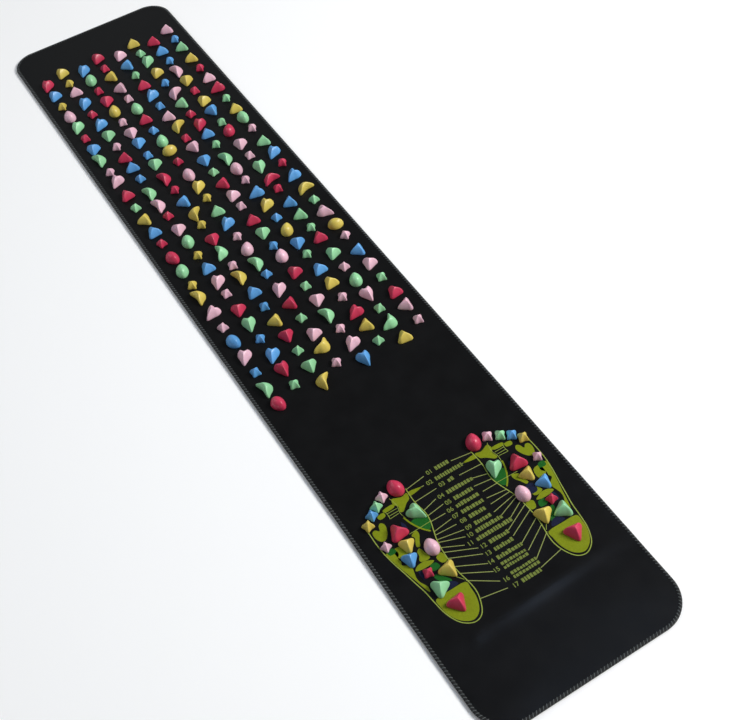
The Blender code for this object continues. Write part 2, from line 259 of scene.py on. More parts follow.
bm = bmesh.new()
add_slab(bm, RIM_INSET, BASE_TOP + LAYER_GAP, FOAM_TOP)
foam = add_piece("foam_sheet", bm, foam_cells, smooth=False)
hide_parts("foam_core")

# The top cover: black synthetic leather, a calendered plastic film on a knitted back, with a very fine even
# grain and a matt-satin finish. It is glued to the foam and carries the print and the stones.
COVER_TOP = 0.0053
GRAIN_CELLS = 900
GRAIN_DEPTH = 0.00008
CREASE_WAVES = 9
CREASE_DEPTH = 0.0016
WEAR_PATCHES = 26
RIM_FOLD_ANGLE = math.radians(40)

cover_leather, shader = new_finish("cover_leather", (0.0052, 0.0052, 0.0056), roughness=0.42, specular=0.07)
# The faint blue of the specular tint is painted reflection: it gives the leather's reflections the blue cast
# of a cool light.
shader.inputs["Specular Tint"].default_value = (0.94, 0.97, 1.0, 1)
shader.inputs["Coat Weight"].default_value = 0.12
shader.inputs["Coat Roughness"].default_value = 0.24
grain = add_cells(shader, GRAIN_CELLS, Randomness=0.9)
crease = add_noise(shader, CREASE_WAVES, Detail=2, Roughness=0.4)
wear = add_noise(shader, WEAR_PATCHES, Detail=5, Roughness=0.6)
vary(shader, "Base Color", wear, (0.0038, 0.0038, 0.0041), (0.0052, 0.0052, 0.0056), start=0.3, end=0.7)
vary(shader, "Roughness", wear, 0.34, 0.46, start=0.3, end=0.7)
emboss(shader, crease, strength=0.35, depth=CREASE_DEPTH)
emboss(shader, grain, strength=0.35, depth=GRAIN_DEPTH)

bm = bmesh.new()
add_slab(bm, RIM_INSET, FOAM_TOP + LAYER_GAP, COVER_TOP)
cover = add_piece("leather_cover", bm, cover_leather)
cover.data.set_sharp_from_angle(angle=RIM_FOLD_ANGLE)
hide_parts("top_cover")

# The overlocked edge: a three-thread overlock that binds the rim of all the layers. Black threads fill the
# edge, and one pale grey thread wraps over it at every stitch and shows as a row of slanted ticks.
EDGE_TOP = 0.0059
EDGE_WALL = 0.0004
STITCH_PITCH = 0.0057
STITCH_SLANT = 0.0026
RIBS_PER_STITCH = 2
RIB_HEIGHT = 0.00034
THREAD_FUZZ = 0.00012
TICK_SLANT = 0.0034
TICK_RADIUS = 0.00050
TICK_SIDES = 6

# The edge's section, from the needle line on the cover, round the rim and back under the base: how far in
# from the rim, the height as a share of the edge's, and how much of the stitch's slant is reached. A tick
# follows the first six points, down to the middle of the rim.
TICK_POINTS = 6
EDGE_SECTION_SHARES = (
    (1.00, 0.90, 1.00), (0.80, 0.985, 0.84), (0.52, 1.00, 0.62), (0.24, 0.965, 0.42), (0.07, 0.82, 0.26),
    (0.00, 0.55, 0.10), (0.03, 0.28, 0.02), (0.16, 0.09, 0.00), (0.45, 0.02, 0.06), (1.00, 0.02, 0.20),
)


def rim_path():
    """The mat's outline as straight runs and round corners: (length, start, heading, corner radius)."""
    near, far = NEAR_CORNER_RADIUS, FAR_CORNER_RADIUS
    half_x, half_y = MAT_WIDTH / 2, MAT_LENGTH / 2
    sides = (((half_x, near - half_y), (half_x, half_y - far), far),
             ((half_x - far, half_y), (far - half_x, half_y), far),
             ((-half_x, half_y - far), (-half_x, near - half_y), near),
             ((near - half_x, -half_y), (half_x - near, -half_y), near))
    runs = []
    for i, (start, end, corner) in enumerate(sides):
        heading = math.pi / 2 * (i + 1)
        start, end = Vector(start), Vector(end)
        runs.append(((end - start).length, start, heading, 0))
        runs.append((corner * math.pi / 2, end, heading, corner))
    return runs


RIM_PATH = rim_path()
RIM_LENGTH = sum(run[0] for run in RIM_PATH)


def rim_at(travel):
    """The place on the rim after a travel round it, and its outward direction."""
    travel %= RIM_LENGTH
    for run, start, heading, corner in RIM_PATH:
        if travel > run:
            travel -= run
            continue
        if corner == 0:
            place = start + travel * Vector((math.cos(heading), math.sin(heading)))
            return place, Vector((math.sin(heading), -math.cos(heading)))
        out = Vector((math.sin(heading), -math.cos(heading)))
        middle = start - out * corner
        angle = heading - math.pi / 2 + travel / corner
        out = Vector((math.cos(angle), math.sin(angle)))
        return middle + out * corner, out
    # Rounding can carry a travel just past the last run, which ends where the first begins
    return RIM_PATH[0][1], Vector((1, 0))


def edge_point(travel, inward, height, slant):
    """A point of the sewn edge, moved along the rim by its slant and lifted with the mat."""
    place, out = rim_at(travel + slant)
    flat = place - out * inward
    return Vector((flat.x, flat.y, height + mat_lift(flat.x, flat.y)))


def new_thread(name, dark, light):
    """Spun polyester thread: two tones of fibre, a fine fuzz, and a dull sheen."""
    finish, shader = new_finish(name, light, roughness=0.72, specular=0.3)
    fibres = add_noise(shader, cells_per_metre=2600, Detail=3)
    vary(shader, "Base Color", fibres, dark, light, start=0.35, end=0.65)
    emboss(shader, fibres, strength=0.6, depth=THREAD_FUZZ)
    shader.inputs["Sheen Weight"].default_value = 0.06
    shader.inputs["Sheen Roughness"].default_value = 0.5
    return finish


black_thread = new_thread("black_thread", (0.003, 0.003, 0.0035), (0.010, 0.0105, 0.0115))
pale_thread = new_thread("pale_thread", (0.085, 0.098, 0.098), (0.170, 0.190, 0.190))

stitch_count = round(RIM_LENGTH / STITCH_PITCH)
stitch_travel = RIM_LENGTH / stitch_count
rib_travel = stitch_travel / RIBS_PER_STITCH
bm = bmesh.new()
loops = []
for step in range(stitch_count * RIBS_PER_STITCH * 2):
    # The section swells at every second step, which is the crown of a rib
    travel = step * rib_travel / 2
    swell = RIB_HEIGHT if step % 2 else 0
    loop = []
    for inward_share, height_share, slant_share in EDGE_SECTION_SHARES:
        height = (EDGE_TOP - RIB_HEIGHT) * height_share + swell * (2 * height_share - 1)
        inward = SEAM_BITE * inward_share + RIB_HEIGHT - swell
        loop.append(bm.verts.new(edge_point(travel, inward, max(height, 0), STITCH_SLANT * slant_share)))
    loops.append(loop)
for loop, following in zip(loops, loops[1:] + loops[:1]):
    for i in range(len(loop) - 1):
        bm.faces.new((loop[i], loop[i + 1], following[i + 1], following[i]))
bmesh.ops.recalc_face_normals(bm, faces=bm.faces[:])
edge_threads = add_piece("overlock_black_threads", bm, black_thread)
wall = edge_threads.modifiers.new("thread thickness", "SOLIDIFY")
wall.thickness = EDGE_WALL
wall.offset = -1
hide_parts("edge_overlock")

bm = bmesh.new()
for stitch in range(stitch_count):
    travel = stitch * stitch_travel
    points = [edge_point(travel, SEAM_BITE * inward_share + TICK_RADIUS,
                         TICK_RADIUS + (EDGE_TOP - 2 * TICK_RADIUS) * height_share + TICK_RADIUS / 2,
                         TICK_SLANT * slant_share)
              for inward_share, height_share, slant_share in EDGE_SECTION_SHARES[:TICK_POINTS]]
    along = (rim_at(travel + TICK_RADIUS)[0] - rim_at(travel - TICK_RADIUS)[0]).normalized().to_3d()
    rings = []
    for i, point in enumerate(points):
        ahead = points[min(i + 1, len(points) - 1)] - points[max(i - 1, 0)]
        side = (along - along.project(ahead)).normalized()
        up = ahead.cross(side).normalized()
        ring = [bm.verts.new(point + TICK_RADIUS * (math.cos(turn) * side + math.sin(turn) * up))
                for turn in (math.tau * k / TICK_SIDES for k in range(TICK_SIDES))]
        rings.append(ring)
    for ring, following in zip(rings, rings[1:]):
        for k in range(TICK_SIDES):
            j = (k + 1) % TICK_SIDES
            bm.faces.new((ring[k], ring[j], following[j], following[k]))
    bm.faces.new(rings[0][::-1])
    bm.faces.new(rings[-1])
bmesh.ops.recalc_face_normals(bm, faces=bm.faces[:])
edge_ticks = add_piece("overlock_pale_thread", bm, pale_thread)

# The printed chart: screen-printed inks on the cover, laid one over another. Each foot has an outline, filled
# reflex zones and dark patches, and thin leader lines run from it to a column of numbered rows in between.
CHART_MIDDLE = 0.0015
INK_BOTTOM = 0.00525
INK_THICKNESS = 0.00010
INK_STEP = 0.00004

# The chart is drawn in millimetres: across from its middle line, and along from the mat's near end
MM = 0.001
OUTLINE_WIDTH = 1.5
ARCH_WIDTH = 2.5
FINE_WIDTH = 0.8
LEADER_WIDTH = 1.2
LINE_STEPS = 6
ZONE_STEPS = 3

FOOT_OUTLINE = (
    (147, 372), (148, 343), (147, 321), (144, 300), (139, 276), (135, 255), (131, 235), (129, 215),
    (126, 193), (119, 174), (110, 163), (98, 157), (86, 160), (77, 171), (70, 190), (69, 208), (73, 235),
    (74, 255), (73, 276), (70, 296), (65, 313), (60, 329), (58, 345), (61, 366), (61, 384), (60, 398),
)

# A foot's filled zones, each by its corners, in the order in which their inks are laid. The last navy zone is
# on the right foot only.
GREEN_ZONES = (
    ((124, 217), (126, 205), (124, 190), (118, 176), (109, 166), (98, 161), (87, 165), (79, 175), (74, 190),
     (73, 205), (74, 217), (99, 218)),
    ((145, 319), (131, 317), (129, 309), (134, 303), (133, 296), (135, 290), (125, 281), (129, 262),
     (128, 252), (123, 241), (125, 231), (129, 243), (132, 256), (136, 272), (140, 288), (143, 302)),
    ((143, 360), (144, 350), (140, 341), (133, 339), (126, 345), (121, 355), (120, 363), (124, 368),
     (129, 365), (132, 357), (137, 362)),
    ((122, 380), (111, 381), (111, 374), (121, 373)),
    ((109, 385), (92, 386), (92, 380), (108, 379)),
    ((88, 394), (91, 384), (86, 378), (89, 368), (84, 366), (79, 370), (72, 376), (65, 380), (63, 391),
     (72, 389), (79, 391)),
    ((60, 391), (60, 383), (40, 386), (40, 388)),
    ((97, 324), (87, 328), (86, 320), (92, 310), (96, 302), (101, 304), (98, 312), (95, 318)),
    ((105, 296), (99, 300), (96, 290), (93, 281), (98, 277), (108, 279), (110, 283), (106, 289)),
    ((124, 271), (117, 277), (106, 278), (98, 275), (92, 271), (100, 268), (114, 268)),
    ((87, 273), (76, 277), (75, 262), (84, 261)),
    ((118, 300), (132, 301), (133, 318), (120, 317)),
)
DARK_ZONES = (
    ((107, 250), (100, 249), (93, 240), (88, 231), (92, 228), (99, 233), (105, 240)),
    ((142, 322), (132, 322), (130, 314), (141, 313)),
    ((84, 345), (61, 346), (60, 335), (64, 322), (70, 318), (77, 326), (82, 336)),
    ((103, 257), (102, 267), (92, 267), (90, 257)),
)
NAVY_ZONES = (
    ((106, 220), (104, 227), (96, 231), (88, 228), (84, 220)),
    ((116, 253), (122, 254), (122, 267), (117, 267)),
    ((98, 352), (94, 345), (96, 336), (101, 338)),
)
RIGHT_NAVY_ZONE = ((91, 284), (104, 284), (104, 299), (92, 299))

# A foot's printed lines, and the leader lines with both their ends
ARCH_LINE = ((90, 357), (87, 345), (82, 333), (76, 323), (69, 315))
FINE_LINES = (
    ((108, 381), (107, 374), (108, 366)), ((107, 376), (90, 376)), ((107, 371), (91, 371)),
    ((108, 366), (92, 367)), ((90, 397), (87, 381), (90, 367), (88, 355)), ((59, 329), (98, 328)),
    ((81, 232), (73, 221)),
)
LEADERS = (
    (60, 396, 25, 401), (41, 387, 34, 387), (61, 370, 21, 372), (58, 350, 32, 357), (58, 339, 28, 343),
    (60, 328, 34, 328), (65, 311, 32, 315), (67, 305, 31, 303), (69, 297, 27, 289), (70, 292, 32, 278),
    (72, 283, 41, 267), (73, 274, 27, 252), (75, 263, 27, 240), (75, 247, 30, 223), (74, 233, 31, 208),
    (72, 218, 32, 190), (71, 183, 29, 175),
)

# The numbered rows: along, the left and right ends across, and how many lines of print
LABEL_ROWS = (
    (403, -19, 22, 1), (387, -29, 39, 1), (374, -15, 16, 1), (357, -28, 35, 1), (342, -25, 28, 1),
    (329, -30, 30, 1), (316, -29, 29, 1), (303, -24, 23, 1), (289, -24, 23, 1), (277, -30, 34, 1),
    (265, -37, 43, 1), (251, -24, 27, 1), (237, -25, 29, 1), (223, -30, 33, 1), (208, -31, 33, 2),
    (188, -28, 35, 2), (173, -22, 29, 1),
)
ROW_HEIGHT = 7.0
SPLIT_HEIGHT_SHARE = 0.72
NUMBER_SIZE = 10.4
NUMBER_WEIGHT = 0.18
NUMBER_ROOM = 16
BLOCK_WIDTH = 4.4
BLOCK_WIDTH_SHARES = (0.7, 0.9, 1.0)
BLOCK_HEIGHT_SHARES = (1.0, 1.0, 0.8, 0.9)
BLOCK_GAP = 1.2


def chart_point(side, across, along, height):
    """A place on the chart as a point of the mat. The side is -1 for the left foot and 1 for the right."""
    x = CHART_MIDDLE + side * across * MM
    y = along * MM - MAT_LENGTH / 2
    return Vector((x, y, height + mat_lift(x, y)))


def soft_step(before, start, end, after, t):
    """A point or number on the way from start to end, on a soft curve that also heeds its neighbours."""
    return 0.5 * (2 * start + (end - before) * t + (2 * before - 5 * start + 4 * end - after) * t ** 2
                  + (3 * start - before - 3 * end + after) * t ** 3)


def soft_line(points, steps, closed=False):
    """A line drawn through the points by hand, with no corners."""
    count = len(points)
    line = []
    for i in range(count if closed else count - 1):
        around = [i + k if closed else min(max(i + k, 0), count - 1) for k in (-1, 0, 1, 2)]
        around = [Vector(points[k % count]) for k in around]
        line += [soft_step(*around, step / steps) for step in range(steps)]
    if not closed:
        line.append(Vector(points[-1]))
    return line


def add_ink(bm, corners, layer, slot):
    """One closed patch of ink with its thickness, from its corners on the cover."""
    if (corners[1] - corners[0]).cross(corners[2] - corners[0]).z < 0:
        corners = corners[::-1]
    rise = Vector((0, 0, INK_THICKNESS + layer * INK_STEP))
    low = [bm.verts.new(corner) for corner in corners]
    high = [bm.verts.new(corner + rise) for corner in corners]
    faces = [bm.faces.new(high), bm.faces.new(low[::-1])]
    for i in range(len(low)):
        j = (i + 1) % len(low)
        faces.append(bm.faces.new((low[i], low[j], high[j], high[i])))
    for face in faces:
        face.material_index = slot


def add_ink_line(bm, side, points, width, layer, slot):
    """A printed line of even width along the points, as short patches joined end to end."""
    edges = []
    for i, point in enumerate(points):
        ahead = (points[min(i + 1, len(points) - 1)] - points[max(i - 1, 0)]).normalized()
        aside = Vector((-ahead.y, ahead.x)) * width / 2
        edges.append((point + aside, point - aside))
    for near, far in zip(edges, edges[1:]):
        corners = [near[0], near[1], far[1], far[0]]
        add_ink(bm, [chart_point(side, *corner, INK_BOTTOM) for corner in corners], layer, slot)


def new_ink(name, dark, light):
    """Screen-printed ink: a little uneven where the mesh laid it thick or thin."""
    finish, shader = new_finish(name, light, roughness=0.55, specular=0.14)
    laid = add_noise(shader, cells_per_metre=420, Detail=4, Roughness=0.7)
    vary(shader, "Base Color", laid, dark, light, start=0.25, end=0.7)
    emboss(shader, laid, strength=0.15, depth=0.00004)
    return finish


outline_ink = new_ink("outline_ink", (0.195, 0.250, 0.030), (0.310, 0.385, 0.075))
leader_ink = new_ink("leader_ink", (0.185, 0.218, 0.055), (0.295, 0.338, 0.105))
zone_ink = new_ink("zone_ink", (0.150, 0.185, 0.003), (0.205, 0.250, 0.005))
dark_green_ink = new_ink("dark_green_ink", (0.005, 0.072, 0.006), (0.009, 0.115, 0.012))
navy_ink = new_ink("navy_ink", (0.004, 0.006, 0.022), (0.007, 0.011, 0.040))
label_ink = new_ink("label_ink", (0.095, 0.123, 0.022), (0.190, 0.236, 0.048))

# A foot's inks are its slots 0 to 3, and the layers say what is printed over what
foot_inks = (outline_ink, zone_ink, dark_green_ink, navy_ink)
for name, side in (("left", -1), ("right", 1)):
    bm = bmesh.new()
    add_ink_line(bm, side, soft_line(FOOT_OUTLINE, LINE_STEPS), OUTLINE_WIDTH, layer=1, slot=0)
    add_ink_line(bm, side, soft_line(ARCH_LINE, LINE_STEPS), ARCH_WIDTH, layer=3, slot=1)
    for line in FINE_LINES:
        add_ink_line(bm, side, soft_line(line, LINE_STEPS), FINE_WIDTH, layer=4, slot=0)
    navy_zones = NAVY_ZONES if side < 0 else NAVY_ZONES + (RIGHT_NAVY_ZONE,)
    for zones, layer, slot in ((GREEN_ZONES, 0, 1), (DARK_ZONES, 1, 2), (navy_zones, 2, 3)):
        for zone in zones:
            line = soft_line(zone, ZONE_STEPS, closed=True)
            add_ink(bm, [chart_point(side, *corner, INK_BOTTOM) for corner in line], layer, slot)
    foot_print = add_piece(f"{name}_foot_chart", bm, *foot_inks, smooth=False)
    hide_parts(f"{name}_foot_print")

bm = bmesh.new()
for side in (-1, 1):
    for across, along, end_across, end_along in LEADERS:
        ends = [Vector((across, along)), Vector((end_across, end_along))]
        add_ink_line(bm, side, ends, LEADER_WIDTH, layer=0, slot=0)
leaders = add_piece("chart_leader_lines", bm, leader_ink, smooth=False)

# A row is a number and a run of blocks, or two lower runs of blocks one above the other
block_sizes = random.Random(7)
bm = bmesh.new()
for number, (along, left, right, lines) in enumerate(LABEL_ROWS, start=1):
    digits = bpy.data.curves.new("row_number", "FONT")
    digits.body = f"{number:02d}"
    digits.size = NUMBER_SIZE * MM
    digits.offset = NUMBER_WEIGHT * MM
    digits.extrude = INK_THICKNESS / 2
    writing = bpy.data.objects.new("row_number", digits)
    shape = bpy.data.meshes.new_from_object(writing)
    place = chart_point(1, left, along - ROW_HEIGHT / 2, INK_BOTTOM + INK_THICKNESS / 2)
    shape.transform(Matrix.Translation(place))
    bm.from_mesh(shape)
    bpy.data.meshes.remove(shape)
    bpy.data.objects.remove(writing)
    bpy.data.curves.remove(digits)
    line_height = ROW_HEIGHT if lines == 1 else ROW_HEIGHT * SPLIT_HEIGHT_SHARE
    for line in range(lines):
        low = along - line_height / 2 + (lines - 1 - 2 * line) * line_height * SPLIT_HEIGHT_SHARE
        pen = left + NUMBER_ROOM
        while pen + BLOCK_WIDTH <= right:
            width = BLOCK_WIDTH * block_sizes.choice(BLOCK_WIDTH_SHARES)
            high = low + line_height * block_sizes.choice(BLOCK_HEIGHT_SHARES)
            box = ((pen, low), (pen + width, low), (pen + width, high), (pen, high))
            add_ink(bm, [chart_point(1, *corner, INK_BOTTOM) for corner in box], layer=0, slot=0)
            pen += width + BLOCK_GAP
labels = add_piece("chart_label_rows", bm, label_ink, smooth=False)

# The stones: solid pieces of satin moulded plastic in five shapes and five colours, each bonded to the cover
# by its flat back. Their flanks rise from the outline to rounded ridges, like a hipped roof's.
STONE_SEAT = 0.0053
BACK_RISE = 0.0008
BACK_SHARE = 0.97
RIDGE_ROUNDING = 2
AROUND = 72
RING_SHARES = (1.0, 0.985, 0.96, 0.92, 0.86, 0.79, 0.71, 0.62, 0.53, 0.43, 0.33, 0.23, 0.13, 0.05)

# The moulds of the triangle, heart, egg, crescent moon and star. Each has its size, how far its crest lies
# and leans towards the tip, how its flanks bulge and steepen, and its outline: the reach from the middle at
# equal turns from its tip round to its back. All shares are of half the stone's length or width.
Mould = namedtuple("Mould", "length width height middle_share lean_share bulge steepness outline_shares")
MOULDS = {
    "t": Mould(0.0302, 0.0320, 0.0155, -0.06, 0, 1.45, 0.76,
               (1.00, 0.84, 0.69, 0.62, 0.60, 0.62, 0.70, 0.86, 0.94, 0.87, 0.73, 0.65, 0.63)),
    "h": Mould(0.0350, 0.0265, 0.0155, -0.08, 0, 1.55, 0.72,
               (1.00, 0.83, 0.70, 0.64, 0.63, 0.68, 0.80, 0.93, 1.03, 1.01, 0.89, 0.74, 0.62)),
    "e": Mould(0.0292, 0.0232, 0.0155, -0.06, 0, 2.0, 0.56,
               (1.00, 0.98, 0.95, 0.93, 0.93, 0.95, 0.97, 0.99, 1.00, 1.00, 1.00, 1.00, 1.00)),
    "m": Mould(0.0285, 0.0305, 0.0155, 0.04, 0.24, 1.55, 0.66,
               (0.55, 0.57, 0.67, 0.93, 1.36, 1.00, 0.83, 0.76, 0.72, 0.69, 0.68, 0.69, 0.70)),
    "s": Mould(0.0205, 0.0210, 0.0128, 0.00, 0, 1.45, 0.70,
               (1.00, 0.84, 0.70, 0.66, 0.70, 0.84, 1.00, 0.84, 0.70, 0.66, 0.70, 0.84, 1.00)),
}
PLASTICS = {
    "R": ("rose", (0.560, 0.030, 0.085)),
    "P": ("pink", (0.790, 0.470, 0.570)),
    "Y": ("yellow", (0.660, 0.520, 0.095)),
    "G": ("green", (0.290, 0.650, 0.340)),
    "B": ("blue", (0.105, 0.350, 0.720)),
}
DARK_TONE_SHARE = 0.86
LIGHT_TONE_SHARE = 1.10
LIGHT_TONE_LIFT = 0.008
DIAL_MARKS = 48


def reach_at(shares, turn):
    """A shape's reach at a turn from its tip, the same on both sides, on a soft curve through the shares."""
    steps = len(shares) - 1
    place = abs((turn + math.pi) % math.tau - math.pi) / math.pi * steps
    at = min(int(place), steps - 1)
    t = place - at
    after = shares[steps - abs(steps - at - 2)]
    return soft_step(shares[abs(at - 1)], shares[at], shares[at + 1], after, t)


def reach_from_edge(point, outline):
    """The distance from a point inside an outline to the outline."""
    nearest = math.inf
    for start, end in zip(outline, outline[1:] + outline[:1]):
        run = end - start
        along = min(max((point - start).dot(run) / run.length_squared, 0), 1)
        nearest = min(nearest, (start + run * along - point).length)
    return nearest


def shape_mould(mould):
    """A mould's points, ring by ring from its flat back to its crest, with the crest last."""
    turns = [math.tau * k / AROUND for k in range(AROUND)]
    half = Vector((mould.width / 2, mould.length / 2))
    outline = [reach_at(mould.outline_shares, turn) * half * Vector((math.sin(turn), math.cos(turn)))
               for turn in turns]
    middle = Vector((0, mould.middle_share * half.y))
    rings = [[middle + (edge - middle) * share for edge in outline] for share in RING_SHARES]
    depths = [[0.0] * AROUND] + [[reach_from_edge(point, outline) for point in ring] for ring in rings[1:]]
    deepest = max(max(ring) for ring in depths)
    rises = [[(1 - (1 - depth / deepest) ** mould.bulge) ** mould.steepness for depth in ring]
             for ring in depths]
    for _ in range(RIDGE_ROUNDING):
        for r in range(1, len(rises)):
            lower, ring = rises[r - 1], rises[r]
            upper = rises[min(r + 1, len(rises) - 1)]
            rises[r] = [(2 * ring[k] + ring[k - 1] + ring[(k + 1) % AROUND] + lower[k] + upper[k]) / 6
                        for k in range(AROUND)]
    crest = sum(rises[-1]) / AROUND
    points = [middle.to_3d() + (edge - middle).to_3d() * BACK_SHARE for edge in outline]
    for ring, rise in zip(rings, rises):
        points += [Vector((p.x, p.y, BACK_RISE + (mould.height - BACK_RISE) * share / crest))
                   for p, share in zip(ring, rise)]
    points.append(Vector((*middle, mould.height)))
    lean = mould.lean_share * half.y / mould.height
    return [Vector((p.x, p.y + lean * p.z, p.z)) for p in points]


mould_points = {name: shape_mould(mould) for name, mould in MOULDS.items()}


def add_stone(bm, mould, scale, place, slot):
    """One moulded stone at its place, in one of the colours."""
    verts = [bm.verts.new(place @ (point * scale)) for point in mould_points[mould]]
    crest = verts.pop()
    rings = [verts[i:i + AROUND] for i in range(0, len(verts), AROUND)]
    faces = [bm.faces.new(rings[0])]
    for ring, following in zip(rings, rings[1:]):
        for k in range(AROUND):
            j = (k + 1) % AROUND
            faces.append(bm.faces.new((ring[j], ring[k], following[k], following[j])))
    for k in range(AROUND):
        faces.append(bm.faces.new((rings[-1][(k + 1) % AROUND], rings[-1][k], crest)))
    for face in faces:
        face.material_index = slot


def new_plastic(name, colour):
    """Satin injection-moulded plastic: its tone shifts a little from stone to stone, under a faint peel."""
    finish, shader = new_finish(f"{name}_plastic", colour, roughness=0.30, specular=0.46)
    dark = tuple(value * DARK_TONE_SHARE for value in colour)
    light = tuple(min(value * LIGHT_TONE_SHARE + LIGHT_TONE_LIFT, 1) for value in colour)
    tone = add_noise(shader, cells_per_metre=22, Detail=2)
    vary(shader, "Base Color", tone, dark, light, start=0.3, end=0.7)
    peel = add_noise(shader, cells_per_metre=520, Detail=3)
    vary(shader, "Roughness", peel, 0.32, 0.46, start=0.3, end=0.7)
    emboss(shader, peel, strength=0.12, depth=0.00035)
    shader.inputs["Subsurface Weight"].default_value = 0.06
    shader.inputs["Subsurface Radius"].default_value = (0.004, 0.003, 0.002)
    return finish


plastics = [new_plastic(*plastic) for plastic in PLASTICS.values()]
plastic_slots = {colour: i for i, colour in enumerate(PLASTICS)}


def read_stone(entry):
    """Splits a layout entry into its colour, its mould and its dial mark."""
    return entry[0], entry[1], int(entry[2:])


def stone_place(x, y, mark):
    """Seats a stone on the cover, its tip to a dial mark: 0 is the far end, 12 is +X, 24 is the near end."""
    turn = Matrix.Rotation(-math.tau * mark / DIAL_MARKS, 4, "Z")
    return Matrix.Translation((x, y, STONE_SEAT + mat_lift(x, y))) @ turn


# The stone field: 8 lengthwise columns of 26 stones of moulded plastic, every other column half a row further
# on. Each stone is glued down by hand, so rows and columns stray a little. Three runs make a column.
FIELD_SIDE_MARGIN = 0.0347
FIELD_FAR_MARGIN = 0.1083
ROW_PITCH = 0.0390
COLUMN_RUNS = (("far", 0, 8), ("middle", 8, 17), ("near", 17, 26))

# One line for each column from -X to +X, each read from the far end: colour, mould and dial mark of the tip
FIELD_COLUMNS = (
    "Rh28 Bt29 Ys10 Pe0 Gh28 Rs6 Bt27 Gm35 Ps10 Ph30 Rt15 Gs4 Yt37 Bt31 Rs4 Re22 Ge26 Ys10"
    " Ym35 Ph32 Ps4 Be22 Ph28 Bs6 Gm35 Re22",
    "Yt29 Ys10 Pt1 Bh28 Rs4 Bh30 Gt27 Ps10 Rt3 Bt1 Bs4 Gm35 Pm35 Rs4 Pt27 Ge26 Ys10 Bt31"
    " Ph28 Ps6 Rt27 Gh26 Bs10 Bh28 Rh24 Gs8",
    "Bh28 Ge26 Rs6 Rt27 Ye2 Ps8 Pt25 Bt27 Bs6 Gt27 Rm35 Rs10 Bt37 Ym16 Ys10 Rt25 Gm38 Ps8"
    " Ym35 Bt31 Bs8 Yt37 Rt25 Gs4 Gt25 Ym16",
    "Rt29 Rs6 Yt37 Pt37 Ps6 Ge0 Rt1 Bs4 Ge2 Ye12 Rs4 Pe24 Yh28 Ys10 Gt1 Bh30 Ps10 Pe4"
    " Gm35 Bs4 Ph28 Rt37 Gs4 Pt29 Ym44 Ps10",
    "Pt29 Bt37 Gs10 Rt1 Bh30 Bs6 Pt3 Ym18 Rs6 Pt23 Bt25 Gs4 Rt37 Pt29 Ps6 Rt1 Gt27 Bs10"
    " Pe2 Rt29 Gs6 Pt27 Gm35 Ps10 Ph30 Bh24",
    "Yt1 Gs4 Gh28 Yt29 Bs10 Pm18 Gt37 Rs4 Rh28 Bt1 Gs10 Gm35 Pe24 Ps10 Bh34 Yh30 Bs4 Ye4"
    " Bt27 Gs10 Bt31 Yt31 Ps10 Rh32 Yt35 Gs4",
    "Rt3 Bt1 Bs10 Pm35 Yt27 Rs6 Yt29 Bt23 Gs8 Re4 Pt27 Ps6 Gh26 Rm22 Rs8 Bt35 Gt35 Gs10"
    " Rt1 Gt29 Ps4 Ge2 Ph24 Gs6 Gm42 Yt1",
    "Pt3 Bs10 Gt35 Yt3 Rs10 Pt1 Rh34 Gs10 Yt1 Ge24 Ps10 Gt3 Bh30 Rs10 Bh32 Ym22 Gs4 Ph18"
    " Ye14 Ps0 Bt37 Pt29 Gs8 Rt31 Pt37 Ps8",
)

# How far columns and rows stray, as shares of their pitch. The first set of rows is for the column at the -X
# edge and every second one after it, and the second set for those between them.
COLUMN_NUDGE_SHARES = (-0.035, -0.025, -0.025, -0.030, 0.030, 0.010, -0.020, -0.010)
ROW_NUDGE_SHARES = (
    {7: 0.10, 9: 0.20, 14: 0.15, 18: 0.20},
    {2: 0.15, 9: 0.15, 10: 0.20, 13: 0.10, 19: 0.15, 23: -0.10},
)

column_pitch = (MAT_WIDTH - 2 * FIELD_SIDE_MARGIN) / (len(FIELD_COLUMNS) - 1)
for column, stones in enumerate(FIELD_COLUMNS):
    layout = stones.split()
    for run, first, last in COLUMN_RUNS:
        bm = bmesh.new()
        for row in range(first, last):
            colour, mould, mark = read_stone(layout[row])
            x = (column - (len(FIELD_COLUMNS) - 1) / 2 + COLUMN_NUDGE_SHARES[column]) * column_pitch
            rows_down = row - ROW_NUDGE_SHARES[column % 2].get(row, 0) + (0 if column % 2 else 0.5)
            y = MAT_LENGTH / 2 - FIELD_FAR_MARGIN - rows_down * ROW_PITCH
            add_stone(bm, mould, 1, stone_place(x, y, mark), plastic_slots[colour])
        stones_run = add_piece(f"stones_{column + 1}_{run}", bm, *plastics)
        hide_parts(f"stone_strip_{column + 1}_{run}")

# The stones of the two feet: fifteen stones from the same moulds on each print, glued down by hand on the
# toes, the ball, the arch and the heel.
FOOT_LENGTH = 0.265
HEEL_ACROSS = 0.100
HEEL_ALONG = 0.157

